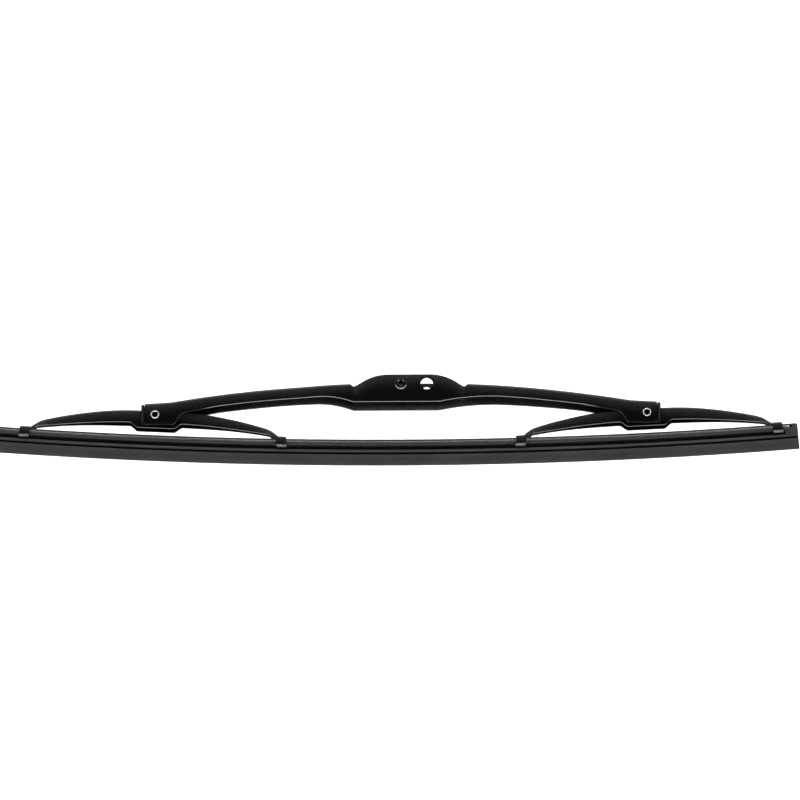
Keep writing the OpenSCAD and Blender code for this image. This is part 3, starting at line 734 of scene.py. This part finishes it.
def rivet_profile(shank, head, bore, crest, height, grip):
    """Half of a hollow rivet with a rolled rim that is highest at the radius crest, mirrored about Y = 0."""
    mouth = min(bore + MOUTH_WIDEN, crest - MOUTH_WIDEN)
    half = [(shank, 0.0), (shank, grip), (head - HEAD_ROUND, grip), (head, grip + HEAD_FOOT)]
    for i in range(RIM_STEPS + 1):
        a = math.pi * i / RIM_STEPS
        run = (head if a < math.pi / 2 else mouth) - crest
        half.append((crest + abs(math.cos(a)) * run, grip + RIM_FOOT + (height - RIM_FOOT) * math.sin(a)))
    half += [(bore, grip - MOUTH_DEPTH), (bore, 0.0)]
    return half + [(r, -y) for r, y in half[::-1] if y > 0]


def rivet_highlights(point):
    """Painted highlights on the centre rivet: on the lower side of its rim, and on its bore's mouth higher up.
    """
    x, y, z = point
    r = math.hypot(x, z)
    if abs(y) < CHEEK_HALF:
        return 0.0
    rim = RIM_HIGHLIGHT * rise(r, *RIM_OUT_FADE) * rise(-z / r, *RIM_LOW_FADE)
    mouth = MOUTH_HIGHLIGHT * rise(r, *MOUTH_OUT_FADE) * rise(-r, *MOUTH_IN_FADE)
    return max(rim, mouth * rise(z / r, *MOUTH_UP_FADE) * rise(abs(x) / r, *MOUTH_ASIDE_FADE))


def pivot_bore_shade(point, side):
    """Painted shade inside the bores of the pivot rivets."""
    return 1.0 - rise(math.hypot(point[0] - side * PIVOT_X, point[2] - PIVOT_Z), *BORE_SHADE_FADE)


def build_rivets():
    rivets = {}
    pivot = rivet_profile(PIVOT_SHANK_R, PIVOT_HEAD_R, PIVOT_BORE_R, PIVOT_CREST_R, PIVOT_RISE, END_HALF)
    for name, side in (("left_pivot_rivet", -1), ("right_pivot_rivet", 1)):
        rivets[name] = lathe(name + "_rolled", side * PIVOT_X, PIVOT_Z, pivot,
                             lambda v, s=side: pivot_bore_shade(v, s))
    centre = rivet_profile(SHANK_R, HEAD_R, BORE_R, CREST_R, HEAD_RISE, CHEEK_HALF)
    rivets["centre_rivet"] = lathe("centre_rivet_rolled", 0, 0, centre, rivet_highlights)
    return rivets


# Rubber. Its sections lie across a bow, at a distance s along it. Heights start at the rails' middle.
RUBBER_TURN_STEPS, RUBBER_STEP, BLOCK_STEP = 3, 3.0, 1.0
EDGE_ROUND, NECK_ROUND, HINGE_ROUND, LIP_ROOT_ROUND, FOLD_ROUND = 0.3, 0.25, 0.2, 0.32, 0.5
SLOT_ROUND, WIPING_ROUND, LEAST_ROUND, BLOCK_ROUND_LOSS = 0.08, 0.05, 0.001, 0.8
# Shares of lit grey on the rubber's faces; the rest is painted shade
TOP_UNSHADED, HEAD_UNSHADED, FOLD_UNSHADED, LIP_UNSHADED, WIPING_UNSHADED = 0.15, 0.6, 0.7, 0.95, 0.3
BLOCK_BEFORE, BLOCK_AFTER, BLOCK_CLEAR, SLOT_SIDE = 0.01, 0.15, 0.5, 0.02
# Distances from the closed end, and how far the section is drawn in there
END_ROUNDING = ((1.0, 0.0), (0.65, 0.05), (0.35, 0.16), (0.12, 0.36), (0.0, 0.62))
OPEN_RUN, OPEN_DRAWN_IN = 0.1, 0.12


def rubber_corners(slot, block):
    """The corners of one side of the section, each as y, height, radius and the share of lit grey on the face
    before, where the rest is painted shade.
    """
    floor = HEAD_HALF + (SLOT_FLOOR - HEAD_HALF) * slot
    slot_half = RAIL_T / 2 + RAIL_GAP
    neck_top = -HEAD_BELOW
    ridge_top = neck_top - NECK_H
    hinge_top = ridge_top - RIDGE_H
    lip_top = hinge_top - HINGE_H
    lip_end = lip_top - LIP_H
    neck = NECK_HALF + (HEAD_HALF - BLOCK_SUNK - NECK_HALF) * block
    slot_round = SLOT_ROUND * slot
    head_round = EDGE_ROUND * (1 - BLOCK_ROUND_LOSS * block)
    neck_round = NECK_ROUND * (1 - block)
    cavity = HEAD_UNSHADED * block
    return [
        (0, HEAD_ABOVE, 0, TOP_UNSHADED),
        (HEAD_HALF, HEAD_ABOVE, EDGE_ROUND, TOP_UNSHADED),
        (HEAD_HALF, slot_half, slot_round, HEAD_UNSHADED),
        (floor, slot_half, 0, 0),
        (floor, -slot_half, 0, HEAD_UNSHADED * (1 - slot)),
        (HEAD_HALF, -slot_half, slot_round, 0),
        (HEAD_HALF, neck_top, head_round, HEAD_UNSHADED),
        (neck, neck_top, neck_round, cavity),
        (neck, ridge_top, neck_round, cavity),
        (RIDGE_HALF, ridge_top, EDGE_ROUND, cavity),
        (RIDGE_HALF, hinge_top, EDGE_ROUND, 1),
        (HINGE_HALF, hinge_top, HINGE_ROUND, 0),
        (HINGE_HALF, lip_top, HINGE_ROUND, 0),
        (LIP_HALF, lip_top, LIP_ROOT_ROUND, 0),
        (FOLD_HALF, (lip_top + lip_end) / 2, FOLD_ROUND, 1),
        (EDGE_HALF, lip_end, WIPING_ROUND, LIP_UNSHADED),
        (0, lip_end, 0, WIPING_UNSHADED),
    ]


def rubber_side(slot, block):
    """One side of the section as (y, height, share of lit grey). slot and block run from 0 to 1.

    The rest of the grey is painted shade: near black on the faces inside the grooves, and dark on the head's
    top.
    """
    corners = rubber_corners(slot, block)
    middle_top, middle_bottom = corners[0], corners[-1]
    out = [(*middle_top[:2], middle_top[3])]
    for before, at, after in zip(corners, corners[1:], corners[2:]):
        turn = rounded(before[:2], at[:2], after[:2], max(at[2], LEAST_ROUND), RUBBER_TURN_STEPS)
        for i, point in enumerate(turn):
            unshaded = FOLD_UNSHADED if at[0] == FOLD_HALF else at[3] + (after[3] - at[3]) * i / RUBBER_TURN_STEPS
            out.append((*point, unshaded))
    return out + [(*middle_bottom[:2], middle_bottom[3])]


def on_bow(s, y, h):
    a = s / BOW_R
    return ((BOW_R - h) * math.sin(a), y, BOW_CENTRE_Z - (BOW_R - h) * math.cos(a))


def closed_sections():
    """Sections from the middle to the closed end, each as s, slot, block and how far it is drawn in."""
    slot_end = CLOSED_END - RAIL_SETBACK + SLOT_SPARE
    block = CLOSED_END - END_BLOCK
    sections = [(s, 1.0, 0.0, 0.0) for s in spread(0, block - BLOCK_BEFORE, RUBBER_STEP)]
    sections += [(block + BLOCK_AFTER, 1.0, 1.0, 0.0)]
    sections += [(s, 1.0, 1.0, 0.0) for s in spread(block + BLOCK_CLEAR, slot_end - SLOT_SIDE, BLOCK_STEP)]
    sections += [(slot_end + SLOT_SIDE, 0.0, 1.0, 0.0)]
    return sections + [(CLOSED_END - back, 0.0, 1.0, inset) for back, inset in END_ROUNDING]


def open_sections():
    """Sections from the middle to the open end, in the same form."""
    sections = [(-s, 1.0, 0.0, 0.0) for s in spread(0, OPEN_END - OPEN_RUN, RUBBER_STEP)]
    return sections + [(-OPEN_END, 1.0, 0.0, OPEN_DRAWN_IN)]


def build_rubber(name, side):
    """The rubber from the middle to one end. side is 1 for the closed end on the right."""
    verts, faces, rings, light_and_wear = [], [], [], []
    for s, slot, block, inset in closed_sections() if side > 0 else open_sections():
        line = rubber_side(slot, block)
        section = line + [(-y, h, unshaded) for y, h, unshaded in line[-2:0:-1]]
        # The share of lit grey at each point; the rest is painted shade
        light_and_wear += [unshaded for _, _, unshaded in section]
        rings.append(add_points(verts, [
            on_bow(s, y * (1 - inset / HEAD_HALF), h - inset if h > RAIL_T else h) for y, h, _ in section]))
    tube(faces, rings)
    end = rings[-1]
    for i in range(len(end) // 2):
        quad = (end[i], end[i + 1], end[-i - 1], end[-i])
        faces.append(tuple(dict.fromkeys(quad)))
    return mesh_object(name, verts, faces, SHARP_EXTRUDED, light_and_wear)


# Rails
RAIL_STEP, RAIL_END_RUN, RAIL_BROKEN, RAIL_ROUND, RAIL_TURN_STEPS = 4.0, 0.12, 0.1, 0.14, 2


def build_rail(name, y_side, x_side):
    """A rail from the middle to one end. x_side is 1 for the squeegee's closed end."""
    inner = SLOT_FLOOR + RAIL_GAP
    outer = inner + RAIL_W
    end = CLOSED_END - RAIL_SETBACK if x_side > 0 else OPEN_END - RAIL_INSET
    verts, faces, rings = [], [], []
    for s in spread(0, end - RAIL_END_RUN, RAIL_STEP) + [end]:
        e = RAIL_BROKEN if s == end else 0.0
        h = RAIL_T / 2 - e
        box = [(inner + e, -h), (outer - e, -h), (outer - e, h), (inner + e, h)]
        section = []
        for before, at, after in zip(box[-1:] + box, box, box[1:] + box[:1]):
            section += rounded(before, at, after, RAIL_ROUND, RAIL_TURN_STEPS)
        rings.append(add_points(verts, [on_bow(x_side * s, y_side * y, z) for y, z in section]))
    tube(faces, rings)
    faces.append(tuple(rings[-1]))
    return mesh_object(name, verts, faces, SHARP_EXTRUDED)


# Materials
NOISE_ROUGHNESS = 0.55
EVEN = (1, 1, 1)


def material(name):
    mat = bpy.data.materials.new(name)
    mat.use_nodes = True
    nodes, links = mat.node_tree.nodes, mat.node_tree.links
    return mat, nodes, links, nodes["Principled BSDF"]


def coords(nodes, links, scale):
    tex = nodes.new("ShaderNodeTexCoord")
    mapping = nodes.new("ShaderNodeMapping")
    mapping.inputs["Scale"].default_value = scale
    links.new(tex.outputs["Object"], mapping.inputs["Vector"])
    return mapping.outputs["Vector"]


def noise(nodes, links, vector, scale, detail):
    n = nodes.new("ShaderNodeTexNoise")
    n.inputs["Scale"].default_value = scale
    n.inputs["Detail"].default_value = detail
    n.inputs["Roughness"].default_value = NOISE_ROUGHNESS
    links.new(vector, n.inputs["Vector"])
    return n.outputs["Fac"]


def ramp(nodes, links, fac, stops):
    """A ramp between two stops, each a place and a colour."""
    r = nodes.new("ShaderNodeValToRGB")
    for element, (place, colour) in zip(r.color_ramp.elements, stops):
        element.position = place
        element.color = (*colour, 1.0)
    links.new(fac, r.inputs["Fac"])
    return r.outputs["Color"]


def grey(v):
    return (v, v, v)


def map_range(nodes, links, fac, low, high):
    m = nodes.new("ShaderNodeMapRange")
    m.inputs["To Min"].default_value = low
    m.inputs["To Max"].default_value = high
    links.new(fac, m.inputs["Value"])
    return m.outputs["Result"]


def bump(nodes, links, height, strength, distance):
    b = nodes.new("ShaderNodeBump")
    b.inputs["Strength"].default_value = strength
    b.inputs["Distance"].default_value = distance
    links.new(height, b.inputs["Height"])
    return b.outputs["Normal"]


def light_and_wear_value(nodes):
    """The mesh's points' values for painted light and shade, and for wear."""
    attribute = nodes.new("ShaderNodeAttribute")
    attribute.attribute_name = "light_and_wear"
    return attribute.outputs["Fac"]


def light_and_wear_mask(nodes, links, grain):
    """The painted light and wear, broken up by a grain."""
    patch = nodes.new("ShaderNodeMapRange")
    patch.inputs["From Min"].default_value = 0.25
    patch.inputs["From Max"].default_value = 0.6
    patch.inputs["To Min"].default_value = 0.4
    links.new(grain, patch.inputs["Value"])
    mask = nodes.new("ShaderNodeMath")
    mask.operation = "MULTIPLY"
    mask.use_clamp = True
    links.new(light_and_wear_value(nodes), mask.inputs[0])
    links.new(patch.outputs["Result"], mask.inputs[1])
    return mask.outputs["Value"]


def blend_colour(nodes, links, fac, first, second):
    """first where fac is 0, and the fixed colour second where it is 1."""
    mix = nodes.new("ShaderNodeMix")
    mix.data_type = "RGBA"
    links.new(fac, mix.inputs["Factor"])
    links.new(first, mix.inputs["A"])
    mix.inputs["B"].default_value = (*second, 1)
    return mix.outputs["Result"]


def paint_material():
    dark, light, highlight_metal = (0.0005, 0.0005, 0.0006), (0.0018, 0.0018, 0.0022), (0.50, 0.50, 0.51)
    mat, nodes, links, shader = material("black_paint")
    vec = coords(nodes, links, EVEN)
    broad = noise(nodes, links, vec, scale=60, detail=4)
    fine = noise(nodes, links, vec, scale=2600, detail=2)
    # Painted light: where a point's value is high the paint turns a light metallic grey, which paints its
    # lighter tops and highlights, and shows worn paint on sloping cut edges
    lit_and_worn = light_and_wear_mask(nodes, links, noise(nodes, links, vec, scale=900, detail=3))
    colour = ramp(nodes, links, broad, [(0.3, dark), (0.75, light)])
    links.new(blend_colour(nodes, links, lit_and_worn, colour, highlight_metal), shader.inputs["Base Color"])
    links.new(map_range(nodes, links, lit_and_worn, low=0.0, high=0.55), shader.inputs["Metallic"])
    links.new(map_range(nodes, links, fine, low=0.26, high=0.4), shader.inputs["Roughness"])
    links.new(bump(nodes, links, fine, strength=0.3, distance=0.00008), shader.inputs["Normal"])
    shader.inputs["Specular IOR Level"].default_value = 0.2
    return mat


def steel_material(name, dark, light, rough_from, rough_to, stretch):
    bore_shade = grey(0.01)
    mat, nodes, links, shader = material(name)
    grain = noise(nodes, links, coords(nodes, links, stretch), scale=900, detail=4)
    patch = noise(nodes, links, coords(nodes, links, EVEN), scale=220, detail=3)
    colour = ramp(nodes, links, patch, [(0.25, dark), (0.75, light)])
    # Painted shade: near black where a point's value is high, inside the pivot rivets' bores
    links.new(blend_colour(nodes, links, light_and_wear_value(nodes), colour, bore_shade), shader.inputs["Base Color"])
    links.new(map_range(nodes, links, grain, low=rough_from, high=rough_to), shader.inputs["Roughness"])
    links.new(bump(nodes, links, grain, strength=0.15, distance=0.00003), shader.inputs["Normal"])
    shader.inputs["Metallic"].default_value = 1.0
    return mat


def rubber_material():
    # Grey where the rubber is lit, and near black where shade is painted, in its grooves and on its head's top
    lit_dark, lit_light, shade_black = (0.040, 0.042, 0.046), (0.060, 0.063, 0.068), (0.004, 0.004, 0.0045)
    streak_share = 0.45
    mat, nodes, links, shader = material("rubber")
    streak = noise(nodes, links, coords(nodes, links, (0.12, 1, 1)), scale=900, detail=4)
    cloud = noise(nodes, links, coords(nodes, links, (0.6, 1, 1)), scale=70, detail=4)
    fine = noise(nodes, links, coords(nodes, links, EVEN), scale=3200, detail=2)
    mix = nodes.new("ShaderNodeMath")
    mix.operation = "MULTIPLY_ADD"
    links.new(streak, mix.inputs[0])
    mix.inputs[1].default_value = streak_share
    links.new(cloud, mix.inputs[2])
    lit_grey = ramp(nodes, links, mix.outputs[0], [(0.45, lit_dark), (0.95, lit_light)])
    shade_share = nodes.new("ShaderNodeMath")
    shade_share.operation = "SUBTRACT"
    shade_share.inputs[0].default_value = 1.0
    links.new(light_and_wear_value(nodes), shade_share.inputs[1])
    links.new(blend_colour(nodes, links, shade_share.outputs["Value"], lit_grey, shade_black), shader.inputs["Base Color"])
    links.new(map_range(nodes, links, streak, low=0.5, high=0.66), shader.inputs["Roughness"])
    links.new(bump(nodes, links, fine, strength=0.25, distance=0.00005), shader.inputs["Normal"])
    shader.inputs["Specular IOR Level"].default_value = 0.4
    return mat


def plastic_material():
    dark, light, line_grey = grey(0.0015), grey(0.004), grey(0.22)
    mat, nodes, links, shader = material("black_plastic")
    fine = noise(nodes, links, coords(nodes, links, EVEN), scale=1800, detail=3)
    colour = ramp(nodes, links, fine, [(0.3, dark), (0.8, light)])
    # The lighter grey line where a point's value is 1
    links.new(blend_colour(nodes, links, light_and_wear_value(nodes), colour, line_grey), shader.inputs["Base Color"])
    links.new(map_range(nodes, links, fine, low=0.42, high=0.56), shader.inputs["Roughness"])
    links.new(bump(nodes, links, fine, strength=0.2, distance=0.00004), shader.inputs["Normal"])
    shader.inputs["Specular IOR Level"].default_value = 0.2
    return mat


def dress(obj, mat, node):
    obj.data.materials.clear()
    obj.data.materials.append(mat)
    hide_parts(node)


paint = paint_material()
bare_steel = steel_material("bare_steel", dark=(0.80, 0.79, 0.77), light=(0.94, 0.93, 0.91),
                            rough_from=0.20, rough_to=0.38, stretch=EVEN)
rail_steel = steel_material("rail_steel", dark=(0.30, 0.31, 0.325), light=(0.42, 0.43, 0.445),
                            rough_from=0.30, rough_to=0.48, stretch=(0.05, 1, 1))
rubber = rubber_material()
plastic = plastic_material()

bridge = build_bridge()
dress(bridge, paint, "bridge")
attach(bridge, "bridge_body")
for node, obj in build_rivets().items():
    if node == "centre_rivet":
        dress(obj, paint, node)
    else:
        dress(obj, bare_steel, node)
    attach(obj, "bridge_body")
for node, side in (("left_bushing", -1), ("right_bushing", 1)):
    obj = build_bushing(node + "_saddle", side)
    dress(obj, plastic, node)
    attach(obj, "bridge_body")
for node, side in (("left_yoke", -1), ("right_yoke", 1)):
    obj = build_yoke(node + "_sheet", side)
    dress(obj, paint, node)
    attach(obj, node + "_body")
for tag, side in (("left", -1), ("right", 1)):
    pieces = [(build_rubber("squeegee_" + tag, side), rubber, "rubber", "squeegee")]
    for rail, y_side in (("front_rail", 1), ("rear_rail", -1)):
        pieces.append((build_rail(rail + "_" + tag, y_side, side), rail_steel, "rail_steel", rail))
    for obj, mat, slot, node in pieces:
        dress(obj, mat, node)
        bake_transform(obj)


# Stage, in metres. Only the camera sees the side walls, the near one and the pale sheet on the floor.
FLOOR_Z, ROOM_HALF, WALL_TOP, PALE_LIFT = -1.3, 4, 4.5, 0.001


def emitter(name, colour, strength, size, at):
    """A lamp that faces the part."""
    light = bpy.data.lights.new(name, "AREA")
    light.shape = "RECTANGLE"
    light.size, light.size_y = size
    light.energy = strength
    light.color = colour
    obj = bpy.data.objects.new(name, light)
    bpy.context.scene.collection.objects.link(obj)
    obj.location = at
    obj.rotation_euler = (-Vector(at)).to_track_quat("-Z", "Y").to_euler()


def plain(name, colour, glow):
    mat, nodes, links, shader = material(name)
    shader.inputs["Base Color"].default_value = (*grey(colour), 1)
    shader.inputs["Roughness"].default_value = 0.9
    shader.inputs["Emission Color"].default_value = (1, 1, 1, 1)
    shader.inputs["Emission Strength"].default_value = glow
    return mat


def sheet(name, corners, mat):
    mesh = bpy.data.meshes.new(name)
    mesh.from_pydata(corners, [], [(0, 1, 2, 3)])
    obj = bpy.data.objects.new(name, mesh)
    bpy.context.scene.collection.objects.link(obj)
    mesh.materials.append(mat)
    return obj


def floor_corners(z):
    return [(x * ROOM_HALF, y * ROOM_HALF, z) for x, y in ((-1, -1), (1, -1), (1, 1), (-1, 1))]


sheet("floor", floor_corners(FLOOR_Z), plain("floor_white", colour=0.85, glow=0.0))
white = plain("backdrop_white", colour=0.9, glow=1.1)
for i, (x, y) in enumerate(((0, 1), (0, -1), (1, 0), (-1, 0))):
    a = (ROOM_HALF * (x - y), ROOM_HALF * (y + x))
    b = (ROOM_HALF * (x + y), ROOM_HALF * (y - x))
    wall = sheet("backdrop_" + str(i), [(*a, FLOOR_Z), (*b, FLOOR_Z), (*b, WALL_TOP), (*a, WALL_TOP)], white)
    wall.visible_glossy = False
    wall.visible_diffuse = wall.visible_shadow = i == 0
pale = sheet("floor_top", floor_corners(FLOOR_Z + PALE_LIFT), plain("floor_pale", colour=0.85, glow=0.38))
pale.visible_glossy = pale.visible_diffuse = pale.visible_shadow = False

world = bpy.data.worlds.new("studio")
bpy.context.scene.world = world
world.use_nodes = True
world.node_tree.nodes["Background"].inputs["Color"].default_value = (0.93, 0.96, 1.0, 1)
world.node_tree.nodes["Background"].inputs["Strength"].default_value = 0.035
emitter("overhead", colour=(1.0, 0.99, 0.98), strength=110, size=(4.5, 2.6), at=(0, -0.6, 2.4))
for side in (-1, 1):
    emitter("side_light", colour=(0.98, 0.99, 1.0), strength=22, size=(1.2, 1.2), at=(2.2 * side, -1.3, 1.2))
emitter("edge_light", colour=(1.0, 1.0, 1.0), strength=30, size=(3.0, 0.7), at=(0, 2.8, -1.04))
emitter("under_light", colour=(1.0, 1.0, 1.0), strength=6, size=(2.0, 0.3), at=(0, -0.7, -1.2))

# Camera. The shifts are in the photo's pixels, and place the part in the picture.
ELEVATION = math.radians(20.3)
ROLL = math.radians(0.29)
DISTANCE = 2.5
FRAME_WIDTH = 0.4
NEAR_SIDE = 0.0106
SENSOR_WIDTH = 36
PIXELS_PER_MM = 2
SHIFT_RIGHT, SHIFT_UP = -0.8, -11.6
level = Vector((1, 0, 0))
upright = Vector((0, -math.sin(ELEVATION), math.cos(ELEVATION)))
onward = Vector((0, math.cos(ELEVATION), math.sin(ELEVATION)))
right = level * math.cos(ROLL) - upright * math.sin(ROLL)
up = level * math.sin(ROLL) + upright * math.cos(ROLL)
aim = right * (SHIFT_RIGHT / PIXELS_PER_MM * MM) + up * (SHIFT_UP / PIXELS_PER_MM * MM)
eye = aim - onward * DISTANCE
cam = bpy.data.cameras.new("camera")
cam.lens = SENSOR_WIDTH * (DISTANCE - NEAR_SIDE) / FRAME_WIDTH
cam.clip_end = 30
camera = bpy.data.objects.new("camera", cam)
bpy.context.scene.collection.objects.link(camera)
camera.matrix_world = Matrix((
    (right.x, up.x, -onward.x, eye.x),
    (right.y, up.y, -onward.y, eye.y),
    (right.z, up.z, -onward.z, eye.z),
    (0, 0, 0, 1)))
bpy.context.scene.camera = camera
bpy.context.scene.view_settings.view_transform = "Standard"
